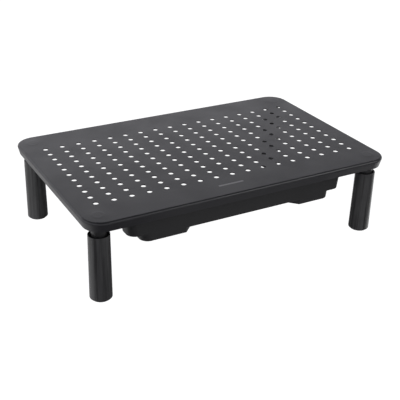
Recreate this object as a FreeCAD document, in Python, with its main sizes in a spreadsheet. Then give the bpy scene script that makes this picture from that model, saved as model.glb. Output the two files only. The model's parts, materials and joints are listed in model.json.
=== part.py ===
import FreeCAD, Part
import math
import os

import Sketcher

# Monitor riser stand: a pressed and perforated steel shelf on four telescopic
# twist-lock legs, with a shallow pen drawer hung under its front edge.
# Millimetres. X runs along the long edge, +Y is the back, z = 0 is the desk,
# and the origin is the middle of the footprint.

SIZES = {
    # steel shelf
    "shelf_length": 372.0,
    "shelf_depth": 238.0,
    "shelf_height": 96.0,
    "skirt_height": 11.0,
    "skirt_slope": 14.0,
    "sheet_thickness": 1.0,
    "corner_radius": 22.5,
    "edge_radius": 2.4,
    "hole_diameter": 6.0,
    "hole_pitch_x": 20.0,
    "hole_pitch_y": 15.0,
    "hole_columns": 17,
    "hole_rows": 11,
    # leg places and the welded mounts
    "leg_x": 167.5,
    "leg_y": 99.0,
    "doubler_thickness": 2.0,
    "doubler_margin": 3.5,
    "doubler_length": 36.0,
    "doubler_width": 31.0,
    "doubler_cut": 10.0,
    "stud_radius": 4.0,
    "stud_length": 20.0,
    "thread_clearance": 0.05,
    "insert_radius": 5.5,
    "insert_length": 12.0,
    # inner column of a leg
    "column_radius": 8.0,
    "column_neck_radius": 8.25,
    "column_neck_bottom": 68.0,
    "column_bottom": 5.3,
    "column_end_chamfer": 0.6,
    "column_bore_radius": 5.0,
    "stud_hole_radius": 4.4,
    "lug_radius": 9.2,
    "lug_width": 5.0,
    "lug_bottom": 10.0,
    "lug_height": 4.0,
    "ring_groove_bottom": 6.2,
    "ring_groove_top": 9.2,
    "ring_groove_radius": 6.7,
    # outer sleeve of a leg
    "sleeve_bottom": 1.5,
    "sleeve_top": 75.0,
    "sleeve_radius_bottom": 12.0,
    "sleeve_radius_top": 11.4,
    "sleeve_floor": 5.0,
    "sleeve_rim_round": 0.4,
    "sleeve_foot_round": 0.7,
    "guide_radius": 8.15,
    "guide_top": 66.0,
    "mouth_radius": 10.2,
    "channel_reach": 9.7,
    "channel_width": 6.0,
    "pocket_angle": 55.0,
    "pocket_bottom": 9.6,
    "pocket_height": 4.8,
    "height_step": 20.0,
    "bump_bottom": 55.5,
    "bump_height": 2.0,
    "bump_inner_radius": 9.0,
    "bump_width": 4.0,
    # glide ring and foot pad
    "ring_clearance": 0.15,
    "ring_split": 1.6,
    "pad_radius": 10.4,
    "pad_recess_radius": 10.45,
    "pad_height": 3.0,
    "pad_edge_round": 0.8,
    # drawer
    "drawer_front_y": -98.0,
    "drawer_return_y": -79.0,
    "drawer_back_y": -40.0,
    "drawer_wall": 2.0,
    "drawer_top_drop": 13.5,
    "drawer_upper_half_top": 136.5,
    "drawer_upper_half": 133.5,
    "drawer_step_drop": 36.0,
    "drawer_lower_half_top": 119.9,
    "drawer_lower_half": 118.9,
    "drawer_bottom_drop": 45.3,
    "drawer_corner": 10.0,
    "drawer_back_corner": 4.0,
    "drawer_return_corner": 1.0,
    "drawer_edge_round": 0.8,
    "tray_half": 120.0,
    "tray_top_drop": 21.0,
    "recess_left": -68.0,
    "recess_right": 77.0,
    "recess_edge_drop": 39.3,
    "recess_depth": 22.0,
    "recess_cut": 9.0,
    # drawer runners
    "lip_half": 125.1,
    "lip_top_drop": 24.0,
    "lip_bottom_drop": 26.0,
    "runner_thickness": 1.5,
    "runner_web_inner": 125.5,
    "runner_flange_inner": 121.0,
    "runner_slot_top_drop": 23.7,
    "runner_slot_bottom_drop": 26.3,
    "runner_front_y": -89.0,
    "runner_neck_y": -81.0,
    "runner_back_top_drop": 21.5,
    "runner_foot_inner": 111.5,
    "runner_foot_front_y": -111.0,
    # catch that keeps the drawer on its runners
    "catch_height": 0.9,
    "catch_length": 3.0,
    "catch_front_y": -87.5,
    "catch_inner": 122.1,
    "catch_outer": 124.5,
    "catch_slot_height": 1.3,
    "catch_slot_margin": 0.5,
    "drawer_travel": 38.0,
    # runner fasteners
    "nut_radius": 4.0,
    "nut_height": 3.0,
    "screw_radius": 2.0,
    "screw_length": 4.2,
    "screw_hole_radius": 2.3,
    "screw_head_radius": 3.8,
    "screw_head_height": 2.4,
    "screw_cross_length": 4.2,
    "screw_cross_width": 0.9,
    "screw_cross_depth": 1.4,
    "screw_x": 118.0,
    "screw_front_y": -105.0,
    "screw_back_y": -88.0,
}

LEGS = {
    "front_left": (-1, -1),
    "front_right": (1, -1),
    "rear_left": (-1, 1),
    "rear_right": (1, 1),
}
SIDES = {"left": -1, "right": 1}
LOCK_HEIGHTS = 3

# tolerances for finding edges and for noticing a feature that did nothing
SAME_PLACE = 0.01
NO_CHANGE = 0.01
SHORTEST_UPRIGHT = 1.0

doc = FreeCAD.newDocument("monitor_riser")


def make_sheet():
    """Writes the driving dimensions, one aliased cell each."""
    sheet = doc.addObject("Spreadsheet::Sheet", "sizes")
    for row, (alias, number) in enumerate(SIZES.items(), start=1):
        sheet.set(f"A{row}", alias.replace("_", " "))
        sheet.set(f"B{row}", str(number))
        sheet.setAlias(f"B{row}", alias)
    doc.recompute()
    return sheet


sizes = make_sheet()


def value(expression):
    """The number that a sheet expression stands for now."""
    number = sizes.evalExpression(expression)
    return float(getattr(number, "Value", number))


def below_top(drop):
    """The height of something that hangs so far below the shelf's top."""
    return f"sizes.shelf_height - ({drop})"


# ---------------------------------------------------------------- sketch tools

def origin_item(body, role):
    return [item for item in body.Origin.OriginFeatures if item.Role == role][0]


def new_body(label, x="0", y="0"):
    """A named body whose place is bound to the sheet."""
    body = doc.addObject("PartDesign::Body", label)
    body.Label = label
    body.Placement = FreeCAD.Placement(FreeCAD.Vector(value(x), value(y), 0), FreeCAD.Rotation())
    body.setExpression("Placement.Base.x", x)
    body.setExpression("Placement.Base.y", y)
    return body


def new_sketch(body, plane, offset="0"):
    """A sketch on one of the body's origin planes, moved along its normal."""
    sketch = body.newObject("Sketcher::SketchObject", "sketch")
    sketch.AttachmentSupport = [(origin_item(body, plane), "")]
    sketch.MapMode = "FlatFace"
    sketch.setExpression("AttachmentOffset.Base.z", offset)
    return sketch


def sketch_at_height(body, z):
    return new_sketch(body, "XY_Plane", z)


def sketch_facing_back(body, y):
    """A sketch across the shelf at the depth y; its normal points to the front."""
    return new_sketch(body, "XZ_Plane", f"-({y})")


def sketch_facing_side(body, x):
    return new_sketch(body, "YZ_Plane", x)


def pin_point(sketch, geometry, point, x, y):
    """Fixes one point of a sketch at two sheet expressions."""
    for kind, expression in (("DistanceX", x), ("DistanceY", y)):
        rule = Sketcher.Constraint(kind, -1, 1, geometry, point, value(expression))
        index = sketch.addConstraint(rule)
        sketch.setExpression(f"Constraints[{index}]", expression)


def bind_radius(sketch, geometry, radius):
    index = sketch.addConstraint(Sketcher.Constraint("Radius", geometry, value(radius)))
    sketch.setExpression(f"Constraints[{index}]", radius)


def draw_polygon(sketch, corners):
    """A closed outline of straight lines through (x, y) sheet expressions."""
    points = [FreeCAD.Vector(value(x), value(y), 0) for x, y in corners]
    count = len(points)
    lines = []
    for index in range(count):
        line = Part.LineSegment(points[index], points[(index + 1) % count])
        lines.append(sketch.addGeometry(line))
    for index in range(count):
        follower = lines[(index + 1) % count]
        sketch.addConstraint(Sketcher.Constraint("Coincident", lines[index], 2, follower, 1))
    for line, (x, y) in zip(lines, corners):
        pin_point(sketch, line, 1, x, y)


def draw_rectangle(sketch, x_low, x_high, y_low, y_high):
    draw_polygon(sketch, [(x_low, y_low), (x_high, y_low), (x_high, y_high), (x_low, y_high)])


def draw_both_sides(sketch, x_inner, x_outer, y_low, y_high):
    """The same rectangle on the left and on the right."""
    draw_rectangle(sketch, x_inner, x_outer, y_low, y_high)
    draw_rectangle(sketch, f"-({x_outer})", f"-({x_inner})", y_low, y_high)


def draw_circle(sketch, x, y, radius):
    centre = FreeCAD.Vector(value(x), value(y), 0)
    circle = sketch.addGeometry(Part.Circle(centre, FreeCAD.Vector(0, 0, 1), value(radius)))
    pin_point(sketch, circle, 3, x, y)
    bind_radius(sketch, circle, radius)


def draw_rounded_outline(sketch, half_x, front_y, back_y, front_radius, back_radius):
    """A rectangle that is symmetric about x = 0, with tangent corner arcs."""
    arcs = []
    corners = (
        (1, back_y, f"-({back_radius})", back_radius, 0),
        (-1, back_y, f"-({back_radius})", back_radius, 90),
        (-1, front_y, front_radius, front_radius, 180),
        (1, front_y, front_radius, front_radius, 270),
    )
    for sign, edge_y, inwards, radius, start in corners:
        x = f"{sign} * (({half_x}) - ({radius}))"
        y = f"({edge_y}) + ({inwards})"
        centre = FreeCAD.Vector(value(x), value(y), 0)
        circle = Part.Circle(centre, FreeCAD.Vector(0, 0, 1), value(radius))
        arc = Part.ArcOfCircle(circle, math.radians(start), math.radians(start + 90))
        arcs.append(sketch.addGeometry(arc))
        pin_point(sketch, arcs[-1], 3, x, y)
        bind_radius(sketch, arcs[-1], radius)
    for arc, after in zip(arcs, arcs[1:] + arcs[:1]):
        straight = Part.LineSegment(sketch.getPoint(arc, 2), sketch.getPoint(after, 1))
        line = sketch.addGeometry(straight)
        sketch.addConstraint(Sketcher.Constraint("Tangent", arc, 2, line, 1))
        sketch.addConstraint(Sketcher.Constraint("Tangent", line, 2, after, 1))


# --------------------------------------------------------------- feature tools

def pad(body, sketch, length, reverse=False, taper="0"):
    """Adds material along the sketch's normal, and stops if it added none."""
    before = body.Shape.Volume if body.Tip else 0.0
    feature = body.newObject("PartDesign::Pad", "pad")
    feature.Profile = sketch
    feature.Reversed = reverse
    feature.setExpression("Length", length)
    feature.setExpression("TaperAngle", taper)
    doc.recompute()
    if body.Shape.Volume <= before:
        raise RuntimeError(f"{body.Label}: a pad added nothing")
    return feature


def pocket(body, sketch, length, reverse=False, taper="0"):
    """Cuts material away, and stops if the cut missed the solid."""
    before = body.Shape.Volume
    feature = body.newObject("PartDesign::Pocket", "pocket")
    feature.Profile = sketch
    feature.Reversed = reverse
    feature.setExpression("Length", length)
    feature.setExpression("TaperAngle", taper)
    doc.recompute()
    if body.Shape.Volume >= before - NO_CHANGE:
        raise RuntimeError(f"{body.Label}: a pocket cut nothing")
    return feature


def loft(body, kind, first, second):
    """A straight-sided loft between two sketches with matching outlines."""
    before = body.Shape.Volume if body.Tip else 0.0
    feature = body.newObject(kind, "loft")
    feature.Profile = first
    feature.Sections = [second]
    feature.Ruled = True
    doc.recompute()
    if abs(body.Shape.Volume - before) < NO_CHANGE:
        raise RuntimeError(f"{body.Label}: a loft changed nothing")


def turn(body, sketch, kind="PartDesign::Revolution", angle="360", reverse=False):
    """Revolves the sketch about the body's Z axis."""
    feature = body.newObject(kind, "turned")
    feature.Profile = sketch
    feature.ReferenceAxis = (origin_item(body, "Z_Axis"), [""])
    feature.Reversed = reverse
    feature.setExpression("Angle", angle)
    doc.recompute()
    return feature


def repeat_opposite(body, feature):
    """Repeats a feature half a turn round the body's Z axis."""
    pattern = body.newObject("PartDesign::PolarPattern", "opposite")
    pattern.Originals = [feature]
    pattern.Axis = (origin_item(body, "Z_Axis"), [""])
    pattern.Angle = 360
    pattern.Occurrences = 2
    body.Tip = pattern
    doc.recompute()


def round_edges(body, radius, chosen):
    """Rounds the edges of the body for which chosen(edge) is true."""
    base = body.Tip
    edges = base.Shape.Edges
    names = [f"Edge{index}" for index, edge in enumerate(edges, start=1) if chosen(edge)]
    if not names:
        raise RuntimeError(f"{body.Label}: no edge to round")
    feature = body.newObject("PartDesign::Fillet", "round")
    feature.Base = (base, names)
    feature.setExpression("Radius", radius)
    doc.recompute()
    return feature


def near(first, second):
    return abs(first - second) < SAME_PLACE


def lies_at_height(edge, level):
    return near(edge.BoundBox.ZMin, level) and near(edge.BoundBox.ZMax, level)


# ------------------------------------------------------------------- the shelf

SHELF_TAN = "tan(sizes.skirt_slope * 1deg)"
SHEET_ACROSS = "sizes.sheet_thickness / cos(sizes.skirt_slope * 1deg)"


def draw_shelf_outline(sketch, inset):
    half_x = f"sizes.shelf_length / 2 - ({inset})"
    half_y = f"sizes.shelf_depth / 2 - ({inset})"
    radius = f"sizes.corner_radius - ({inset})"
    draw_rounded_outline(sketch, half_x, f"-({half_y})", half_y, radius, radius)


def make_top_plate():
    """Pressed sheet: a flat top, and a skirt that slopes in as it goes down."""
    body = new_body("top_plate")
    outline = sketch_at_height(body, "sizes.shelf_height")
    draw_shelf_outline(outline, "0")
    pad(body, outline, "sizes.skirt_height", True, "-sizes.skirt_slope")
    top = value("shelf_height")
    round_edges(body, "sizes.edge_radius", lambda edge: lies_at_height(edge, top))
    hollow = sketch_at_height(body, below_top("sizes.sheet_thickness"))
    draw_shelf_outline(hollow, f"sizes.sheet_thickness * {SHELF_TAN} + {SHEET_ACROSS}")
    depth = "sizes.skirt_height - sizes.sheet_thickness"
    pocket(body, hollow, depth, False, "-sizes.skirt_slope")
    underside = value("shelf_height - sheet_thickness")
    inner_bend = "sizes.edge_radius - sizes.sheet_thickness"
    round_edges(body, inner_bend, lambda edge: lies_at_height(edge, underside))
    punch_holes(body)


def punch_holes(body):
    """The field of round holes, centred on the shelf."""
    sketch = sketch_at_height(body, "sizes.shelf_height")
    first_x = "-sizes.hole_pitch_x * (sizes.hole_columns - 1) / 2"
    first_y = "-sizes.hole_pitch_y * (sizes.hole_rows - 1) / 2"
    draw_circle(sketch, first_x, first_y, "sizes.hole_diameter / 2")
    hole = pocket(body, sketch, "sizes.sheet_thickness * 2")
    pattern = body.newObject("PartDesign::LinearPattern", "hole_field")
    pattern.Originals = [hole]
    pattern.Direction = (sketch, ["H_Axis"])
    pattern.Direction2 = (sketch, ["V_Axis"])
    pattern.setExpression("Length", "sizes.hole_pitch_x * (sizes.hole_columns - 1)")
    pattern.setExpression("Length2", "sizes.hole_pitch_y * (sizes.hole_rows - 1)")
    pattern.setExpression("Occurrences", "sizes.hole_columns")
    pattern.setExpression("Occurrences2", "sizes.hole_rows")
    body.Tip = pattern
    doc.recompute()


# ---------------------------------------------------------------- leg mounting

def make_doubler(name, sign_x, sign_y):
    """Plate welded under one corner, round the stud, to spread the leg's load."""
    body = new_body(f"corner_plate_{name}")
    bottom = "sizes.sheet_thickness + sizes.doubler_thickness"
    sketch = sketch_at_height(body, below_top(bottom))
    outer_x = "(sizes.shelf_length / 2 - sizes.doubler_margin)"
    outer_y = "(sizes.shelf_depth / 2 - sizes.doubler_margin)"
    inner_x = f"({outer_x} - sizes.doubler_length)"
    inner_y = f"({outer_y} - sizes.doubler_width)"
    corners = [
        (inner_x, outer_y),
        (outer_x, outer_y),
        (outer_x, inner_y),
        (f"{inner_x} + sizes.doubler_cut", inner_y),
        (inner_x, f"{inner_y} + sizes.doubler_cut"),
    ]
    draw_polygon(sketch, [(f"{sign_x} * ({x})", f"{sign_y} * ({y})") for x, y in corners])
    draw_circle(
        sketch,
        f"{sign_x} * sizes.leg_x",
        f"{sign_y} * sizes.leg_y",
        "sizes.stud_radius + sizes.thread_clearance",
    )
    pad(body, sketch, "sizes.doubler_thickness")
    corner_x = sign_x * value(outer_x)
    corner_y = sign_y * value(outer_y)

    def outer_corner(edge):
        box = edge.BoundBox
        upright = box.ZLength > SHORTEST_UPRIGHT and box.XLength < SAME_PLACE
        return upright and near(box.XMin, corner_x) and near(box.YMin, corner_y)

    round_edges(body, "sizes.corner_radius - sizes.doubler_margin", outer_corner)


def add_cylinder(radius, height, x, y, z):
    """A bound Part cylinder standing on (x, y, z)."""
    cylinder = doc.addObject("Part::Cylinder", "cylinder")
    cylinder.setExpression("Radius", radius)
    cylinder.setExpression("Height", height)
    bind_place(cylinder, x, y, z)
    return cylinder


def bind_place(item, x, y, z):
    item.setExpression("Placement.Base.x", x)
    item.setExpression("Placement.Base.y", y)
    item.setExpression("Placement.Base.z", z)


def group(items, label="group"):
    """Separate solids kept together as one object."""
    compound = doc.addObject("Part::Compound", label)
    compound.Label = label
    compound.Links = items
    return compound


def combine(kind, base, tool, label="combined"):
    """A Part::Cut or Part::Fuse of two objects."""
    result = doc.addObject(kind, label)
    result.Label = label
    result.Base = base
    result.Tool = tool
    return result


def make_leg_studs():
    """Studs welded to the sheet; each one goes through its corner plate."""
    foot = below_top("sizes.sheet_thickness + sizes.stud_length")
    studs = []
    for sign_x, sign_y in LEGS.values():
        x = f"{sign_x} * sizes.leg_x"
        y = f"{sign_y} * sizes.leg_y"
        studs.append(add_cylinder("sizes.stud_radius", "sizes.stud_length", x, y, foot))
    group(studs, "leg_studs")


COLUMN_TOP = below_top("sizes.sheet_thickness + sizes.doubler_thickness")
INSERT_BOTTOM = f"{COLUMN_TOP} - sizes.insert_length"


def make_leg_inserts():
    """Brass threaded inserts, pressed into the tops of the columns."""
    outers = []
    bores = []
    for sign_x, sign_y in LEGS.values():
        place = (f"{sign_x} * sizes.leg_x", f"{sign_y} * sizes.leg_y", INSERT_BOTTOM)
        outers.append(add_cylinder("sizes.insert_radius", "sizes.insert_length", *place))
        bore = "sizes.stud_radius + sizes.thread_clearance"
        bores.append(add_cylinder(bore, "sizes.insert_length", *place))
    combine("Part::Cut", group(outers), group(bores), "leg_inserts")


# ------------------------------------------------------------------- the legs

def leg_body(kind, name, sign_x, sign_y):
    return new_body(f"{kind}_{name}", f"{sign_x} * sizes.leg_x", f"{sign_y} * sizes.leg_y")


def add_lugs(body, inner, outer, width, bottom, height):
    """Two opposite blocks that stand out from a turned piece."""
    sketch = sketch_at_height(body, bottom)
    draw_both_sides(sketch, inner, outer, f"-({width}) / 2", f"({width}) / 2")
    pad(body, sketch, height)


def make_column(name, sign_x, sign_y):
    """Hollow inner column with two locking lugs and a groove for the glide ring."""
    body = leg_body("leg_column", name, sign_x, sign_y)
    radius = "sizes.column_radius"
    bore = "sizes.column_bore_radius"
    low = "sizes.column_bottom"
    profile = [
        (bore, low),
        (f"{radius} - sizes.column_end_chamfer", low),
        (radius, f"{low} + sizes.column_end_chamfer"),
        (radius, "sizes.ring_groove_bottom"),
        ("sizes.ring_groove_radius", "sizes.ring_groove_bottom"),
        ("sizes.ring_groove_radius", "sizes.ring_groove_top"),
        (radius, "sizes.ring_groove_top"),
        (radius, "sizes.column_neck_bottom"),
        ("sizes.column_neck_radius", COLUMN_TOP),
        ("sizes.insert_radius", COLUMN_TOP),
        ("sizes.insert_radius", INSERT_BOTTOM),
        ("sizes.stud_hole_radius", INSERT_BOTTOM),
        ("sizes.stud_hole_radius", "sizes.column_neck_bottom"),
        (bore, "sizes.column_neck_bottom"),
    ]
    sketch = new_sketch(body, "XZ_Plane")
    draw_polygon(sketch, profile)
    turn(body, sketch)
    add_lugs(
        body,
        "sizes.ring_groove_radius",
        "sizes.lug_radius",
        "sizes.lug_width",
        "sizes.lug_bottom",
        "sizes.lug_height",
    )


def make_glide_ring(name, sign_x, sign_y):
    """Split nylon ring in the column's groove; its keys turn with the sleeve."""
    body = leg_body("glide_ring", name, sign_x, sign_y)
    gap = "sizes.ring_clearance"
    bottom = f"sizes.ring_groove_bottom + {gap}"
    height = f"sizes.ring_groove_top - sizes.ring_groove_bottom - 2 * {gap}"
    ring = sketch_at_height(body, bottom)
    draw_circle(ring, "0", "0", "sizes.column_radius")
    draw_circle(ring, "0", "0", f"sizes.ring_groove_radius + {gap}")
    pad(body, ring, height)
    inner = f"sizes.ring_groove_radius + 2 * {gap}"
    add_lugs(body, inner, "sizes.lug_radius", "sizes.lug_width", bottom, height)
    split = sketch_at_height(body, bottom)
    half_split = "sizes.ring_split / 2"
    draw_rectangle(split, f"-{half_split}", half_split, "0", "sizes.mouth_radius")
    pocket(body, split, height, True)


def make_sleeve(name, sign_x, sign_y):
    """Outer sleeve: open mouth, guide bore, two channels and three lock heights."""
    body = leg_body("foot_sleeve", name, sign_x, sign_y)
    recess_top = "sizes.pad_height"
    profile = [
        ("0", recess_top),
        ("sizes.pad_recess_radius", recess_top),
        ("sizes.pad_recess_radius", "sizes.sleeve_bottom"),
        ("sizes.sleeve_radius_bottom", "sizes.sleeve_bottom"),
        ("sizes.sleeve_radius_top", "sizes.sleeve_top"),
        ("sizes.mouth_radius", "sizes.sleeve_top"),
        ("sizes.mouth_radius", "sizes.guide_top"),
        ("sizes.guide_radius", "sizes.guide_top"),
        ("sizes.guide_radius", "sizes.sleeve_floor"),
        ("0", "sizes.sleeve_floor"),
    ]
    sketch = new_sketch(body, "XZ_Plane")
    draw_polygon(sketch, profile)
    turn(body, sketch)
    rim = value("sleeve_top")
    foot = value("sleeve_bottom")
    foot_radius = value("sleeve_radius_bottom")
    round_edges(body, "sizes.sleeve_rim_round", lambda edge: lies_at_height(edge, rim))

    def foot_edge(edge):
        return lies_at_height(edge, foot) and near(edge.BoundBox.XMax, foot_radius)

    round_edges(body, "sizes.sleeve_foot_round", foot_edge)
    cut_channels(body)
    cut_lock_pockets(body)
    add_lugs(
        body,
        "sizes.bump_inner_radius",
        "sizes.channel_reach",
        "sizes.bump_width",
        "sizes.bump_bottom",
        "sizes.bump_height",
    )


def cut_channels(body):
    """One slot across the bore makes the two opposite channels for the lugs."""
    sketch = sketch_at_height(body, "sizes.sleeve_floor")
    reach = "sizes.channel_reach"
    half_width = "sizes.channel_width / 2"
    draw_rectangle(sketch, f"-{reach}", reach, f"-{half_width}", half_width)
    pocket(body, sketch, "sizes.guide_top - sizes.sleeve_floor", True)


def cut_lock_pockets(body):
    """Arc-shaped pockets beside each channel, one pair for each height."""
    sketch = new_sketch(body, "XZ_Plane")
    for step in range(LOCK_HEIGHTS):
        low = f"sizes.pocket_bottom + {step} * sizes.height_step"
        high = f"{low} + sizes.pocket_height"
        draw_rectangle(sketch, "sizes.column_radius", "sizes.channel_reach", low, high)
    lock = turn(body, sketch, "PartDesign::Groove", "sizes.pocket_angle", True)
    repeat_opposite(body, lock)


def make_foot_pad(name, sign_x, sign_y):
    """Rubber pad pressed into the recess under the sleeve."""
    body = leg_body("foot_pad", name, sign_x, sign_y)
    sketch = sketch_at_height(body, "0")
    draw_circle(sketch, "0", "0", "sizes.pad_radius")
    pad(body, sketch, "sizes.pad_height")
    round_edges(body, "sizes.pad_edge_round", lambda edge: lies_at_height(edge, 0.0))


# ----------------------------------------------------------------- the runners

RUNNER_TOP = below_top("sizes.sheet_thickness + sizes.nut_height")
RUNNER_BOTTOM = below_top("sizes.runner_slot_bottom_drop + sizes.runner_thickness")
WEB_OUTER = "(sizes.runner_web_inner + sizes.runner_thickness)"


def make_runner(name, sign):
    """Folded steel runner: a screwed foot, a sloping web and an open channel."""
    body = new_body(f"drawer_runner_{name}")
    web = sketch_facing_side(body, f"{sign} * sizes.runner_web_inner")
    draw_polygon(web, [
        ("sizes.runner_front_y", RUNNER_BOTTOM),
        ("sizes.drawer_back_y", RUNNER_BOTTOM),
        ("sizes.drawer_back_y", below_top("sizes.runner_back_top_drop")),
        ("sizes.runner_neck_y", RUNNER_TOP),
        ("sizes.runner_front_y", RUNNER_TOP),
    ])
    pad(body, web, "sizes.runner_thickness", sign < 0)
    foot = sketch_at_height(body, f"{RUNNER_TOP} - sizes.runner_thickness")
    draw_rectangle(
        foot,
        f"{sign} * sizes.runner_foot_inner",
        f"{sign} * {WEB_OUTER}",
        "sizes.runner_foot_front_y",
        "sizes.runner_neck_y",
    )
    for y in ("sizes.screw_front_y", "sizes.screw_back_y"):
        draw_circle(foot, f"{sign} * sizes.screw_x", y, "sizes.screw_hole_radius")
    pad(body, foot, "sizes.runner_thickness")
    channel = sketch_facing_back(body, "sizes.runner_front_y")
    flange = (f"{sign} * sizes.runner_flange_inner", f"{sign} * {WEB_OUTER}")
    slot_top = below_top("sizes.runner_slot_top_drop")
    slot_bottom = below_top("sizes.runner_slot_bottom_drop")
    draw_rectangle(channel, *flange, slot_top, f"{slot_top} + sizes.runner_thickness")
    draw_rectangle(channel, *flange, RUNNER_BOTTOM, slot_bottom)
    pad(body, channel, "sizes.drawer_back_y - sizes.runner_front_y", True)
    catch = sketch_at_height(body, slot_bottom)
    draw_rectangle(
        catch,
        f"{sign} * sizes.catch_inner",
        f"{sign} * sizes.catch_outer",
        "sizes.catch_front_y",
        "sizes.catch_front_y + sizes.catch_length",
    )
    pad(body, catch, "sizes.catch_height")


def screw_places():
    """The four runner screws, as pairs of sheet expressions."""
    depths = ("sizes.screw_front_y", "sizes.screw_back_y")
    return [(f"{sign} * sizes.screw_x", y) for sign in SIDES.values() for y in depths]


def make_weld_nuts():
    """Hexagon nuts welded under the sheet; the runner feet rest on them."""
    prisms = []
    bores = []
    for x, y in screw_places():
        prism = doc.addObject("Part::Prism", "prism")
        prism.Polygon = 6
        prism.setExpression("Circumradius", "sizes.nut_radius")
        prism.setExpression("Height", "sizes.nut_height")
        bind_place(prism, x, y, RUNNER_TOP)
        prisms.append(prism)
        bore = "sizes.screw_radius + sizes.thread_clearance"
        bores.append(add_cylinder(bore, "sizes.nut_height", x, y, RUNNER_TOP))
    combine("Part::Cut", group(prisms), group(bores), "runner_weld_nuts")


def make_runner_screws():
    """Cross-head screws that hold the runner feet up against the nuts."""
    foot_bottom = f"({RUNNER_TOP} - sizes.runner_thickness)"
    head_bottom = f"({foot_bottom} - sizes.screw_head_height)"
    head = ("sizes.screw_head_radius", "sizes.screw_head_height")
    length = "sizes.screw_cross_length"
    width = "sizes.screw_cross_width"
    solids = []
    slots = []
    for x, y in screw_places():
        solids.append(add_cylinder(*head, x, y, head_bottom))
        solids.append(add_cylinder("sizes.screw_radius", "sizes.screw_length", x, y, foot_bottom))
        for size_x, size_y in ((length, width), (width, length)):
            slot = doc.addObject("Part::Box", "slot")
            slot.setExpression("Length", size_x)
            slot.setExpression("Width", size_y)
            slot.setExpression("Height", "sizes.screw_cross_depth")
            bind_place(slot, f"{x} - {size_x} / 2", f"{y} - {size_y} / 2", head_bottom)
            slots.append(slot)
    blanks = doc.addObject("Part::MultiFuse", "screw_blanks")
    blanks.Shapes = solids
    crosses = doc.addObject("Part::MultiFuse", "screw_crosses")
    crosses.Shapes = slots
    combine("Part::Cut", blanks, crosses, "runner_screws")


# ------------------------------------------------------------------ the drawer

WALL = "sizes.drawer_wall"
STEP = below_top("sizes.drawer_step_drop")
TRAY_TOP = below_top("sizes.tray_top_drop")


def draw_tier(sketch, half, back_y, front_corner, back_corner, inset="0"):
    """One level of the drawer in plan, moved inwards all round by the inset."""
    draw_rounded_outline(
        sketch,
        f"{half} - ({inset})",
        f"sizes.drawer_front_y + ({inset})",
        f"{back_y} - ({inset})",
        f"{front_corner} - ({inset})",
        f"{back_corner} - ({inset})",
    )


def make_drawer():
    """Moulded pen drawer: stepped front with side returns, tray and side lips."""
    body = new_body("pen_drawer")
    shape_front_shell(body)
    shape_tray(body)
    add_lips(body)
    shape_finger_recess(body)
    soften_bottom(body)
    cut_catch_slots(body)


def shape_front_shell(body):
    """Upper tier of the front: it widens upwards and is open behind and above."""
    return_corner = "sizes.drawer_return_corner"
    halves = ("sizes.drawer_upper_half", "sizes.drawer_upper_half_top")
    top = below_top("sizes.drawer_top_drop")
    outer = []
    for half, z in zip(halves, (STEP, top)):
        sketch = sketch_at_height(body, z)
        draw_tier(sketch, half, "sizes.drawer_return_y", "sizes.drawer_corner", return_corner)
        outer.append(sketch)
    loft(body, "PartDesign::AdditiveLoft", *outer)
    front = f"sizes.drawer_front_y + {WALL}"
    behind = f"sizes.drawer_return_y + {WALL}"
    front_corner = f"sizes.drawer_corner - {WALL}"
    inner = []
    for half, z in zip(halves, (f"{STEP} + {WALL}", top)):
        sketch = sketch_at_height(body, z)
        draw_rounded_outline(sketch, f"{half} - {WALL}", front, behind, front_corner, return_corner)
        inner.append(sketch)
    loft(body, "PartDesign::SubtractiveLoft", *inner)


def shape_tray(body):
    """Two tray tiers behind the front, emptied down to the floor."""
    corners = ("sizes.drawer_corner", "sizes.drawer_back_corner")
    back = "sizes.drawer_back_y"
    bottom = below_top("sizes.drawer_bottom_drop")
    lower = ("sizes.drawer_lower_half", "sizes.drawer_lower_half_top")
    outer = []
    for half, z in zip(lower, (bottom, STEP)):
        sketch = sketch_at_height(body, z)
        draw_tier(sketch, half, back, *corners)
        outer.append(sketch)
    loft(body, "PartDesign::AdditiveLoft", *outer)
    upper = sketch_at_height(body, STEP)
    draw_tier(upper, "sizes.tray_half", back, *corners)
    pad(body, upper, f"{TRAY_TOP} - ({STEP})")
    hollow = sketch_at_height(body, TRAY_TOP)
    draw_tier(hollow, "sizes.tray_half", back, *corners, WALL)
    pocket(body, hollow, f"{TRAY_TOP} - ({STEP}) - {WALL}")
    inner = []
    for half, z in zip(lower, (f"{bottom} + {WALL}", f"{STEP} + {WALL}")):
        sketch = sketch_at_height(body, z)
        draw_tier(sketch, half, back, *corners, WALL)
        inner.append(sketch)
    loft(body, "PartDesign::SubtractiveLoft", *inner)


def add_lips(body):
    """The two side lips that run in the channels of the runners."""
    lips = sketch_at_height(body, below_top("sizes.lip_bottom_drop"))
    front = f"sizes.drawer_front_y + {WALL} / 2"
    back = "sizes.drawer_back_y - sizes.drawer_back_corner"
    draw_both_sides(lips, f"sizes.tray_half - {WALL} / 2", "sizes.lip_half", front, back)
    pad(body, lips, "sizes.lip_bottom_drop - sizes.lip_top_drop")


def draw_recess(sketch, front, outset="0"):
    """The finger hollow in plan: its sides close in at 45 degrees behind the mouth."""
    left = f"sizes.recess_left - ({outset})"
    right = f"sizes.recess_right + ({outset})"
    cut = "sizes.recess_cut"
    side_y = f"sizes.drawer_front_y + {cut}"
    back = f"sizes.drawer_front_y + sizes.recess_depth + ({outset})"
    draw_polygon(sketch, [
        (left, front),
        (right, front),
        (f"{right} - {cut}", side_y),
        (f"{right} - {cut}", back),
        (f"{left} + {cut}", back),
        (f"{left} + {cut}", side_y),
    ])


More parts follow.
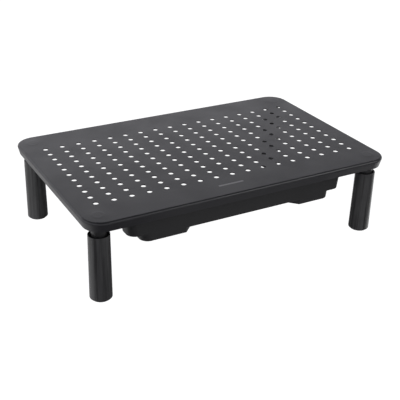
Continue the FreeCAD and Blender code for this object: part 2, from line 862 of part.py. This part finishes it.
def shape_finger_recess(body):
    """A hollow under the front edge for the fingers, with the floor raised over it."""
    bottom = below_top("sizes.drawer_bottom_drop")
    rise = "sizes.drawer_bottom_drop - sizes.recess_edge_drop"
    roof = sketch_at_height(body, f"{bottom} + {WALL} / 2")
    draw_recess(roof, f"sizes.drawer_front_y + {WALL} / 2", WALL)
    pad(body, roof, f"{rise} + {WALL} / 2")
    hollow = sketch_at_height(body, bottom)
    draw_recess(hollow, "sizes.drawer_front_y")
    pocket(body, hollow, rise, True)


def soften_bottom(body):
    """A small round along the whole bottom outline."""
    bottom = value(below_top("sizes.drawer_bottom_drop"))
    round_edges(body, "sizes.drawer_edge_round", lambda edge: lies_at_height(edge, bottom))


def cut_catch_slots(body):
    """Blind slots under the lips; the runner catches stop at their two ends."""
    sketch = sketch_at_height(body, below_top("sizes.lip_bottom_drop"))
    margin = "sizes.catch_slot_margin"
    length = f"sizes.drawer_travel + sizes.catch_length + 2 * {margin}"
    start = f"sizes.catch_front_y - {margin}"
    draw_both_sides(
        sketch,
        f"sizes.catch_inner - {margin}",
        f"sizes.catch_outer + {margin} / 2",
        start,
        f"{start} + {length}",
    )
    pocket(body, sketch, "sizes.catch_slot_height", True)


# ---------------------------------------------------------------- the assembly

make_top_plate()
for leg_name, signs in LEGS.items():
    make_doubler(leg_name, *signs)
    make_column(leg_name, *signs)
    make_glide_ring(leg_name, *signs)
    make_sleeve(leg_name, *signs)
    make_foot_pad(leg_name, *signs)
make_leg_studs()
make_leg_inserts()
for side_name, side_sign in SIDES.items():
    make_runner(side_name, side_sign)
make_weld_nuts()
make_runner_screws()
make_drawer()
doc.recompute()

GROUPS = ("leg_studs", "leg_inserts", "runner_weld_nuts", "runner_screws")


def finished_parts():
    """Every sub-part of the stand: the bodies and the groups of fasteners."""
    bodies = [item for item in doc.Objects if item.TypeId == "PartDesign::Body"]
    return bodies + [item for item in doc.Objects if item.Label in GROUPS]


def check_document():
    """Stops before anything is written if an object or a shape is not sound."""
    for item in doc.Objects:
        if "Invalid" in item.State or "Error" in item.State:
            raise RuntimeError(f"{item.Label}: {item.State}")
    for part in finished_parts():
        if part.Shape.isNull() or not part.Shape.isValid() or not part.Shape.Solids:
            raise RuntimeError(f"{part.Label}: the shape is not sound")


check_document()
os.makedirs("parts", exist_ok=True)
for part in finished_parts():
    part.Shape.exportStep(os.path.join("parts", f"{part.Label}.step"))
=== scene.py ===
"""Looks of the monitor riser stand: materials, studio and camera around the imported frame."""

import json
import math

import bpy
from mathutils import Matrix, Vector


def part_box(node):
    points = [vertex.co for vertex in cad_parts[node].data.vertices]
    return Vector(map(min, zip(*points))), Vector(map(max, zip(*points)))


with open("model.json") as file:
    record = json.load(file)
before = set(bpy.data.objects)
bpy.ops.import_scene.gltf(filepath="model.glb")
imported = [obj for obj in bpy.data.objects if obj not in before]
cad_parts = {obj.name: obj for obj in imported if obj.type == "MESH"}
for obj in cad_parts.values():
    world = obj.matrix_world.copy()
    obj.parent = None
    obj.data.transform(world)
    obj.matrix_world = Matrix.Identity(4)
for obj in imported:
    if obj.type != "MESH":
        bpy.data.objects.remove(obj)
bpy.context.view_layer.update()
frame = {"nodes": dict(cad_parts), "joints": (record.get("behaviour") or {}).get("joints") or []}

MM = 0.001

# camera: metres, degrees, and millimetres for lens and sensor
CAMERA_PLACE = Vector((-0.42652, -0.75794, 0.47317))
CAMERA_DIRECTION = Vector((0.43885, 0.77497, -0.45479))
CAMERA_ROLL = math.radians(1.48)
CAMERA_LENS = 73.26
SENSOR_WIDTH = 36.0

# places on the object, metres
SHELF_LOW, SHELF_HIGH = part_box("top_plate")
SLEEVE_LOW, SLEEVE_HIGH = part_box("foot_sleeve_front_right")
LEG_X = (SLEEVE_LOW[0] + SLEEVE_HIGH[0]) / 2
LEG_Y = -(SLEEVE_LOW[1] + SLEEVE_HIGH[1]) / 2
SLEEVE_FOOT = SLEEVE_LOW[2]
LEG_TRAVEL = max(
    joint["range_m"][1] for joint in frame["joints"] if joint["name"].startswith("leg_height")
)

# the printed bar on the front strip of the shelf, metres
BAR_CENTRE = (-14.0 * MM, SHELF_LOW[1] + 22.5 * MM)
BAR_HALF = (15.0 * MM, 1.4 * MM)
BAR_SOFTNESS = 0.2 * MM
BAR_DEPTH = 0.5 * MM

# the floor leaves room under the feet for the legs' full travel, metres
FLOOR_HALF = 12.0
FLOOR_LEVEL = -LEG_TRAVEL - 1.0 * MM
BOUNCE_LEVEL = FLOOR_LEVEL - 0.4 * MM
CARD_LEVEL = FLOOR_LEVEL + 0.5 * MM
FLOOR_TONE = (0.30, 0.30, 0.30, 1.0)
FLOOR_GLOW = 0.93
BOUNCE_TONE = (0.36, 0.36, 0.36, 1.0)
WHITE = (1.0, 1.0, 1.0, 1.0)

# the world: bright up to a height that is greater on the left, grey above it
SKY_TINT = (0.955, 0.95, 1.0, 1.0)
SKY_LEAN = (0.34, -0.14)
SKY_BAND = (0.24, 0.70)
SKY_STRENGTH = (1.45, 0.11)

# lamps: metres, watts for the softbox, and brightness for the cards
SOFTBOX_PLACE = (1.3, -1.5, 1.25)
SOFTBOX_TARGET = (0.0, 0.0, 0.06)
SOFTBOX_SIZE = 0.9
SOFTBOX_POWER = 14.0
CARDS = {
    "left_card": {"low": (-1.20, -0.12), "high": (-0.185, 1.30), "glow": 0.70},
    "right_card": {"low": (0.200, -0.15), "high": (1.10, 0.80), "glow": 1.35},
    "front_card": {"low": (-0.06, -0.60), "high": (0.18, -0.13), "glow": 0.20},
}

# spans that the masks run over
NOISE_SPAN = (0.3, 0.7)
FADE_IN = (0.0, 1.0)
FADE_OUT = (1.0, 0.0)


# ---------------------------------------------------------------- node helpers

def new_tree(name):
    """A fresh material, its node tree and its principled shader."""
    material = bpy.data.materials.new(name)
    material.use_nodes = True
    tree = material.node_tree
    return material, tree, tree.nodes["Principled BSDF"]


def place(tree):
    """Object coordinates, which are metres in the frame at rest."""
    return tree.nodes.new("ShaderNodeTexCoord").outputs["Object"]


def stretched(tree, vector, scale):
    """The vector scaled differently along each axis."""
    node = tree.nodes.new("ShaderNodeMapping")
    node.inputs["Scale"].default_value = scale
    tree.links.new(vector, node.inputs["Vector"])
    return node.outputs["Vector"]


def split(tree, vector):
    """The three components of a vector."""
    node = tree.nodes.new("ShaderNodeSeparateXYZ")
    tree.links.new(vector, node.inputs["Vector"])
    return node.outputs["X"], node.outputs["Y"], node.outputs["Z"]


def noise(tree, vector, size, detail=2.0, roughness=0.5):
    """Fractal noise whose features are about size metres across."""
    node = tree.nodes.new("ShaderNodeTexNoise")
    node.inputs["Scale"].default_value = 1.0 / size
    node.inputs["Detail"].default_value = detail
    node.inputs["Roughness"].default_value = roughness
    tree.links.new(vector, node.inputs["Vector"])
    return node.outputs["Fac"]


def cells(tree, vector, size):
    """Distance to the nearest of many scattered points, for spark textures."""
    node = tree.nodes.new("ShaderNodeTexVoronoi")
    node.inputs["Scale"].default_value = 1.0 / size
    tree.links.new(vector, node.inputs["Vector"])
    return node.outputs["Distance"]


def remap(tree, value, span, result):
    """A value moved smoothly from one span to another, clamped."""
    node = tree.nodes.new("ShaderNodeMapRange")
    node.interpolation_type = "SMOOTHSTEP"
    node.inputs["From Min"].default_value = span[0]
    node.inputs["From Max"].default_value = span[1]
    node.inputs["To Min"].default_value = result[0]
    node.inputs["To Max"].default_value = result[1]
    tree.links.new(value, node.inputs["Value"])
    return node.outputs["Result"]


def calculate(tree, operation, first, second=None):
    """One maths operation on two sockets or numbers."""
    node = tree.nodes.new("ShaderNodeMath")
    node.operation = operation
    for socket, value in zip(node.inputs, (first, second)):
        if isinstance(value, (int, float)):
            socket.default_value = value
        elif value is not None:
            tree.links.new(value, socket)
    return node.outputs["Value"]


def distance_from(tree, value, centre):
    """How far a value lies from a number."""
    return calculate(tree, "ABSOLUTE", calculate(tree, "SUBTRACT", value, centre))


def mix_colours(tree, factor, first, second):
    """A colour between two, by a factor from 0 to 1; each is a colour or a socket."""
    node = tree.nodes.new("ShaderNodeMix")
    node.data_type = "RGBA"
    tree.links.new(factor, node.inputs["Factor"])
    sockets = [socket for socket in node.inputs if socket.type == "RGBA"]
    for socket, colour in zip(sockets, (first, second)):
        if isinstance(colour, tuple):
            socket.default_value = (*colour, 1.0)
        else:
            tree.links.new(colour, socket)
    return [socket for socket in node.outputs if socket.type == "RGBA"][0]


def add_bump(tree, height, distance, strength=1.0, under=None):
    """A bump of so many metres; under is a normal that it adds to."""
    node = tree.nodes.new("ShaderNodeBump")
    node.inputs["Strength"].default_value = strength
    node.inputs["Distance"].default_value = distance
    tree.links.new(height, node.inputs["Height"])
    if under is not None:
        tree.links.new(under, node.inputs["Normal"])
    return node.outputs["Normal"]


def edge_mask(tree, radius, span):
    """1 on the object's edges, 0 on its open faces; span is how far the normals agree."""
    bevel = tree.nodes.new("ShaderNodeBevel")
    bevel.samples = 6
    bevel.inputs["Radius"].default_value = radius
    geometry = tree.nodes.new("ShaderNodeNewGeometry")
    match = tree.nodes.new("ShaderNodeVectorMath")
    match.operation = "DOT_PRODUCT"
    tree.links.new(bevel.outputs["Normal"], match.inputs[0])
    tree.links.new(geometry.outputs["Normal"], match.inputs[1])
    return remap(tree, match.outputs["Value"], span, FADE_IN)


def leg_offsets(tree, where):
    """Offsets from the nearest leg's axis, and the height."""
    x, y, z = split(tree, where)
    across = calculate(tree, "SUBTRACT", calculate(tree, "ABSOLUTE", x), LEG_X)
    along = calculate(tree, "SUBTRACT", calculate(tree, "ABSOLUTE", y), LEG_Y)
    return across, along, z


def length_of(tree, first, second):
    """The length of a vector of two components."""
    squares = [calculate(tree, "MULTIPLY", part, part) for part in (first, second)]
    return calculate(tree, "SQRT", calculate(tree, "ADD", *squares))


# ------------------------------------------------------------------- materials

def printed_bar(tree, where):
    """1 inside the small printed bar on the front strip of the shelf's top."""
    x, y, z = split(tree, where)
    inside = []
    for value, centre, half in zip((x, y), BAR_CENTRE, BAR_HALF):
        edge = (half - BAR_SOFTNESS, half + BAR_SOFTNESS)
        inside.append(remap(tree, distance_from(tree, value, centre), edge, FADE_OUT))
    on_top = calculate(tree, "GREATER_THAN", z, SHELF_HIGH[2] - BAR_DEPTH)
    return calculate(tree, "MULTIPLY", calculate(tree, "MULTIPLY", *inside), on_top)


def stud_marks(tree, where):
    """Ring and dimple that the welded studs leave in the shelf, as two bump heights."""
    across, along, _ = leg_offsets(tree, where)
    from_leg = length_of(tree, across, along)
    ring = remap(tree, distance_from(tree, from_leg, 5.6 * MM), (0.0, 2.6 * MM), FADE_OUT)
    dimple = remap(tree, from_leg, (0.0, 17.0 * MM), FADE_OUT)
    return ring, dimple


def make_powder_coat():
    """Satin black powder coat with orange peel and weld marks; its edges are lighter in patches,
    partly rubbed wear and partly a painted edge highlight.
    """
    material, tree, shader = new_tree("powder_coat")
    deep, pale = (0.0062, 0.0060, 0.0082), (0.0112, 0.0109, 0.0138)
    edge_highlight_and_wear_tone, bar_tone = (0.0185, 0.0185, 0.0210), (0.15, 0.15, 0.155)
    where = place(tree)
    cloud = noise(tree, where, 45.0 * MM, detail=4.0, roughness=0.6)
    peel = noise(tree, where, 1.7 * MM)
    dust = noise(tree, where, 0.45 * MM)
    # edges lighter in patches: partly rubbed wear, partly a painted edge highlight
    edge_highlight_and_wear = edge_mask(tree, 0.6 * MM, (0.97, 0.80))
    edge_patches = noise(tree, where, 6.0 * MM, detail=3.0, roughness=0.7)
    edge_patches = remap(tree, edge_patches, (0.4, 0.65), (0.15, 0.8))
    highlight_and_wear_patches = calculate(tree, "MULTIPLY", edge_highlight_and_wear, edge_patches)
    tone = mix_colours(tree, cloud, deep, pale)
    # lighter tone on the edges: partly rubbed wear, partly a painted edge highlight
    tone = mix_colours(tree, highlight_and_wear_patches, tone, edge_highlight_and_wear_tone)
    tone = mix_colours(tree, printed_bar(tree, where), tone, bar_tone)
    tree.links.new(tone, shader.inputs["Base Color"])
    gloss = remap(tree, cloud, NOISE_SPAN, (0.37, 0.44))
    gloss = calculate(tree, "ADD", gloss, remap(tree, dust, NOISE_SPAN, (-0.025, 0.025)))
    gloss = calculate(tree, "SUBTRACT", gloss, calculate(tree, "MULTIPLY", highlight_and_wear_patches, 0.07))
    tree.links.new(gloss, shader.inputs["Roughness"])
    ring, dimple = stud_marks(tree, where)
    normal = add_bump(tree, peel, 0.06 * MM, strength=0.5)
    normal = add_bump(tree, dust, 0.01 * MM, strength=0.4, under=normal)
    normal = add_bump(tree, ring, 0.05 * MM, under=normal)
    normal = add_bump(tree, dimple, 0.18 * MM, under=normal)
    tree.links.new(normal, shader.inputs["Normal"])
    return material


def make_sleeve_plastic():
    """Drawn black plastic tube: upright streaks, partly draw marks and partly painted reflection
    stripes; parting lines; edges lighter, partly rubbed wear and partly a painted edge
    highlight; scuffed foot.
    """
    material, tree, shader = new_tree("sleeve_plastic")
    deep, pale = (0.0105, 0.0105, 0.0108), (0.0400, 0.0400, 0.0406)
    cloud_tone, worn_and_edge_highlight_tone = (0.0270, 0.0270, 0.0275), (0.046, 0.046, 0.047)
    where = place(tree)
    _, along, height = leg_offsets(tree, where)
    cloud = noise(tree, where, 20.0 * MM, detail=3.0)
    streak_place = stretched(tree, where, (1.0, 1.0, 0.03))
    streak = noise(tree, streak_place, 3.0 * MM, detail=3.0, roughness=0.6)
    fine = noise(tree, stretched(tree, where, (1.0, 1.0, 0.10)), 0.6 * MM)
    edge_highlight_and_wear = edge_mask(tree, 0.6 * MM, (0.995, 0.88))
    # light and dark upright streaks: partly draw marks, partly painted reflection stripes
    tone = mix_colours(tree, remap(tree, streak, (0.40, 0.60), FADE_IN), deep, pale)
    tone = mix_colours(tree, remap(tree, cloud, (0.35, 0.7), (0.0, 0.5)), tone, cloud_tone)
    foot = remap(tree, height, (SLEEVE_FOOT, SLEEVE_FOOT + 6.0 * MM), FADE_OUT)
    speck = noise(tree, where, 1.4 * MM, detail=3.0, roughness=0.7)
    scuff = calculate(tree, "MULTIPLY", foot, remap(tree, speck, (0.56, 0.66), FADE_IN))
    # lighter edges are partly rubbed wear and partly a painted edge highlight; the scuff at the
    # foot is wear
    worn_and_edge_highlight = calculate(tree, "MAXIMUM", calculate(tree, "MULTIPLY", edge_highlight_and_wear, 0.7), scuff)
    tree.links.new(mix_colours(tree, worn_and_edge_highlight, tone, worn_and_edge_highlight_tone), shader.inputs["Base Color"])
    tree.links.new(remap(tree, streak, NOISE_SPAN, (0.32, 0.46)), shader.inputs["Roughness"])
    seam = remap(tree, calculate(tree, "ABSOLUTE", along), (0.08 * MM, 0.30 * MM), FADE_OUT)
    normal = add_bump(tree, streak, 0.08 * MM, strength=0.5)
    normal = add_bump(tree, fine, 0.02 * MM, strength=0.5, under=normal)
    normal = add_bump(tree, seam, 0.06 * MM, strength=0.6, under=normal)
    tree.links.new(normal, shader.inputs["Normal"])
    return material


def make_column_plastic():
    """Satin moulded plastic of the inner columns, lightly scored up and down; its edges are
    lighter, partly rubbed wear and partly a painted edge highlight.
    """
    material, tree, shader = new_tree("column_plastic")
    deep, pale = (0.0085, 0.0085, 0.009), (0.0150, 0.0150, 0.0156)
    scored_tone, edge_highlight_and_wear_tone = (0.026, 0.026, 0.027), (0.030, 0.030, 0.031)
    where = place(tree)
    cloud = noise(tree, where, 12.0 * MM, detail=3.0)
    upright = stretched(tree, where, (1.0, 1.0, 0.04))
    score = noise(tree, upright, 0.9 * MM, detail=3.0, roughness=0.65)
    # edges lighter: partly rubbed wear, partly a painted edge highlight
    edge_highlight_and_wear = edge_mask(tree, 0.5 * MM, (0.995, 0.88))
    tone = mix_colours(tree, cloud, deep, pale)
    tone = mix_colours(tree, remap(tree, score, (0.55, 0.75), (0.0, 0.6)), tone, scored_tone)
    tree.links.new(mix_colours(tree, edge_highlight_and_wear, tone, edge_highlight_and_wear_tone), shader.inputs["Base Color"])
    tree.links.new(remap(tree, score, NOISE_SPAN, (0.30, 0.44)), shader.inputs["Roughness"])
    tree.links.new(add_bump(tree, score, 0.05 * MM, strength=0.6), shader.inputs["Normal"])
    return material


def make_drawer_plastic():
    """Moulded drawer: fine spark texture, flow clouds and slightly polished edges that are
    glossier and painted lighter as an edge highlight.
    """
    material, tree, shader = new_tree("drawer_plastic")
    deep, pale = (0.0062, 0.0062, 0.0066), (0.0108, 0.0108, 0.0113)
    grain_tone, painted_edge_highlight_tone = (0.0150, 0.0150, 0.0155), (0.026, 0.026, 0.027)
    where = place(tree)
    flow = stretched(tree, where, (0.5, 1.0, 1.0))
    cloud = noise(tree, flow, 30.0 * MM, detail=4.0, roughness=0.6)
    spark = cells(tree, where, 0.55 * MM)
    grain = noise(tree, where, 1.1 * MM, detail=3.0, roughness=0.6)
    # edges glossier from polish, and painted lighter as an edge highlight
    polished_and_edge_highlight = calculate(tree, "MULTIPLY", edge_mask(tree, 0.7 * MM, (0.995, 0.88)), 0.6)
    tone = mix_colours(tree, cloud, deep, pale)
    tone = mix_colours(tree, remap(tree, grain, (0.4, 0.7), (0.0, 0.5)), tone, grain_tone)
    tone = mix_colours(tree, polished_and_edge_highlight, tone, painted_edge_highlight_tone)
    tree.links.new(tone, shader.inputs["Base Color"])
    gloss = remap(tree, cloud, NOISE_SPAN, (0.47, 0.56))
    gloss = calculate(tree, "SUBTRACT", gloss, calculate(tree, "MULTIPLY", polished_and_edge_highlight, 0.16))
    tree.links.new(gloss, shader.inputs["Roughness"])
    normal = add_bump(tree, spark, 0.04 * MM, strength=0.5)
    normal = add_bump(tree, grain, 0.04 * MM, strength=0.4, under=normal)
    tree.links.new(normal, shader.inputs["Normal"])
    return material


def make_nylon():
    """Natural nylon: faintly mottled and slightly see-through."""
    material, tree, shader = new_tree("nylon")
    deep, pale = (0.62, 0.60, 0.54), (0.74, 0.73, 0.68)
    where = place(tree)
    cloud = noise(tree, where, 3.0 * MM, detail=3.0)
    tree.links.new(mix_colours(tree, cloud, deep, pale), shader.inputs["Base Color"])
    shader.inputs["Subsurface Weight"].default_value = 0.15
    shader.inputs["Subsurface Scale"].default_value = 2.0 * MM
    tree.links.new(remap(tree, cloud, NOISE_SPAN, (0.36, 0.5)), shader.inputs["Roughness"])
    skin = noise(tree, where, 0.7 * MM)
    tree.links.new(add_bump(tree, skin, 0.03 * MM, strength=0.5), shader.inputs["Normal"])
    return material


def make_rubber():
    """Matt black rubber with a pebbled skin and dust in its hollows."""
    material, tree, shader = new_tree("rubber")
    deep, pale = (0.0090, 0.0090, 0.0090), (0.0170, 0.0168, 0.0164)
    dust_tone = (0.030, 0.029, 0.028)
    where = place(tree)
    pebble = cells(tree, where, 1.2 * MM)
    cloud = noise(tree, where, 6.0 * MM, detail=3.0)
    tone = mix_colours(tree, cloud, deep, pale)
    tone = mix_colours(tree, remap(tree, pebble, (0.35, 0.6), (0.0, 0.5)), tone, dust_tone)
    tree.links.new(tone, shader.inputs["Base Color"])
    tree.links.new(remap(tree, cloud, NOISE_SPAN, (0.74, 0.88)), shader.inputs["Roughness"])
    tree.links.new(add_bump(tree, pebble, 0.10 * MM, strength=0.6), shader.inputs["Normal"])
    return material


def make_zinc():
    """Zinc plate: faint yellow and blue clouds over turned steel."""
    material, tree, shader = new_tree("zinc_steel")
    bluish, yellowish = (0.46, 0.47, 0.50), (0.63, 0.61, 0.55)
    where = place(tree)
    cloud = noise(tree, where, 3.5 * MM, detail=3.0, roughness=0.6)
    turned = noise(tree, stretched(tree, where, (1.0, 1.0, 12.0)), 1.2 * MM)
    tree.links.new(mix_colours(tree, cloud, bluish, yellowish), shader.inputs["Base Color"])
    shader.inputs["Metallic"].default_value = 1.0
    tree.links.new(remap(tree, cloud, NOISE_SPAN, (0.26, 0.42)), shader.inputs["Roughness"])
    tree.links.new(add_bump(tree, turned, 0.04 * MM, strength=0.5), shader.inputs["Normal"])
    return material


def crossed_knurl(tree, where):
    """Two sets of spiral ridges round each leg's axis, crossing each other."""
    ridges_around, ridges_per_metre = 36.0, 6500.0
    across, along, height = leg_offsets(tree, where)
    angle = calculate(tree, "ARCTAN2", along, across)
    waves = []
    for lean in (1.0, -1.0):
        turned = calculate(tree, "MULTIPLY", angle, ridges_around)
        risen = calculate(tree, "MULTIPLY", height, lean * ridges_per_metre)
        waves.append(calculate(tree, "SINE", calculate(tree, "ADD", turned, risen)))
    return calculate(tree, "MULTIPLY", *waves)


def make_brass():
    """Turned brass with a crossed knurl and a dull film."""
    material, tree, shader = new_tree("brass")
    deep, pale = (0.58, 0.42, 0.18), (0.76, 0.60, 0.30)
    where = place(tree)
    cloud = noise(tree, where, 3.0 * MM, detail=3.0)
    tree.links.new(mix_colours(tree, cloud, deep, pale), shader.inputs["Base Color"])
    shader.inputs["Metallic"].default_value = 1.0
    tree.links.new(remap(tree, cloud, NOISE_SPAN, (0.24, 0.40)), shader.inputs["Roughness"])
    knurl = crossed_knurl(tree, where)
    tree.links.new(add_bump(tree, knurl, 0.12 * MM, strength=0.7), shader.inputs["Normal"])
    return material


MATERIALS = {
    "painted_steel": make_powder_coat(),
    "sleeve_plastic": make_sleeve_plastic(),
    "column_plastic": make_column_plastic(),
    "drawer_plastic": make_drawer_plastic(),
    "nylon": make_nylon(),
    "rubber": make_rubber(),
    "zinc_steel": make_zinc(),
    "brass": make_brass(),
}


def dress_nodes():
    """Gives every CAD node the detailed material of its slot."""
    for node in frame["nodes"].values():
        slot = node.data.materials[0].name
        node.data.materials[0] = MATERIALS[slot]


# ---------------------------------------------------------------------- studio

def add_sheet(name, level):
    """A large flat piece of the studio, with its tree and its principled shader."""
    mesh = bpy.data.meshes.new(name)
    low, high = -FLOOR_HALF, FLOOR_HALF
    corners = [(low, low), (high, low), (high, high), (low, high)]
    mesh.from_pydata([(x, y, level) for x, y in corners], [], [(0, 1, 2, 3)])
    sheet = bpy.data.objects.new(name, mesh)
    bpy.context.scene.collection.objects.link(sheet)
    material, tree, shader = new_tree(name)
    shader.inputs["Roughness"].default_value = 1.0
    shader.inputs["Specular IOR Level"].default_value = 0.0
    mesh.materials.append(material)
    return sheet, tree, shader


def show_from_above_only(tree, shader):
    """Makes a sheet clear from its underside."""
    clear = tree.nodes.new("ShaderNodeBsdfTransparent")
    side = tree.nodes.new("ShaderNodeNewGeometry")
    choice = tree.nodes.new("ShaderNodeMixShader")
    tree.links.new(side.outputs["Backfacing"], choice.inputs["Fac"])
    tree.links.new(shader.outputs["BSDF"], choice.inputs[1])
    tree.links.new(clear.outputs["BSDF"], choice.inputs[2])
    tree.links.new(choice.outputs["Shader"], tree.nodes["Material Output"].inputs["Surface"])


def add_floor():
    """A white floor for the eye, and a plain grey one under it for bounced light."""
    floor, tree, shader = add_sheet("floor", FLOOR_LEVEL)
    shader.inputs["Base Color"].default_value = FLOOR_TONE
    shader.inputs["Emission Color"].default_value = WHITE
    shader.inputs["Emission Strength"].default_value = FLOOR_GLOW
    show_from_above_only(tree, shader)
    floor.visible_glossy = False
    floor.visible_diffuse = False
    floor.visible_shadow = False
    bounce, _, shader = add_sheet("floor_bounce", BOUNCE_LEVEL)
    shader.inputs["Base Color"].default_value = BOUNCE_TONE
    bounce.visible_camera = False


def add_world():
    """White round the horizon, higher on the left than on the right, and grey overhead."""
    world = bpy.data.worlds.new("studio")
    world.use_nodes = True
    tree = world.node_tree
    direction = tree.nodes.new("ShaderNodeTexCoord").outputs["Generated"]
    x, y, height = split(tree, direction)
    for value, lean in zip((x, y), SKY_LEAN):
        height = calculate(tree, "ADD", height, calculate(tree, "MULTIPLY", value, lean))
    background = tree.nodes["Background"]
    background.inputs["Color"].default_value = SKY_TINT
    strength = remap(tree, height, SKY_BAND, SKY_STRENGTH)
    tree.links.new(strength, background.inputs["Strength"])
    bpy.context.scene.world = world


def add_area_light(name, size, power):
    """A rectangular area light that the camera doesn't see."""
    data = bpy.data.lights.new(name, "AREA")
    data.shape = "RECTANGLE"
    data.size, data.size_y = size
    data.energy = power
    light = bpy.data.objects.new(name, data)
    bpy.context.scene.collection.objects.link(light)
    light.visible_camera = False
    return light


def add_softbox():
    """A large soft light from the front right."""
    light = add_area_light("front_right_softbox", (SOFTBOX_SIZE, SOFTBOX_SIZE), SOFTBOX_POWER)
    light.location = SOFTBOX_PLACE
    away = Vector(SOFTBOX_PLACE) - Vector(SOFTBOX_TARGET)
    light.rotation_euler = away.to_track_quat("Z", "Y").to_euler()


def add_card(name, low, high, glow):
    """A faint upward light that lies on the floor, like a white reflector card."""
    width, depth = high[0] - low[0], high[1] - low[1]
    light = add_area_light(name, (width, depth), glow * math.pi * width * depth)
    light.location = ((low[0] + high[0]) / 2, (low[1] + high[1]) / 2, CARD_LEVEL)
    light.rotation_euler = (math.pi, 0.0, 0.0)


def add_camera():
    """The camera, turned round its own axis by the roll."""
    data = bpy.data.cameras.new("camera")
    data.lens = CAMERA_LENS
    data.sensor_width = SENSOR_WIDTH
    camera = bpy.data.objects.new("camera", data)
    bpy.context.scene.collection.objects.link(camera)
    forward = CAMERA_DIRECTION.normalized()
    right = forward.cross(Vector((0.0, 0.0, 1.0))).normalized()
    up = right.cross(forward)
    turned_right = right * math.cos(CAMERA_ROLL) + up * math.sin(CAMERA_ROLL)
    turned_up = up * math.cos(CAMERA_ROLL) - right * math.sin(CAMERA_ROLL)
    axes = Matrix((turned_right, turned_up, -forward)).transposed()
    camera.matrix_world = Matrix.Translation(CAMERA_PLACE) @ axes.to_4x4()
    bpy.context.scene.camera = camera


dress_nodes()
add_floor()
add_world()
add_softbox()
for card_name, card in CARDS.items():
    add_card(card_name, **card)
add_camera()
bpy.context.scene.view_settings.view_transform = "Standard"
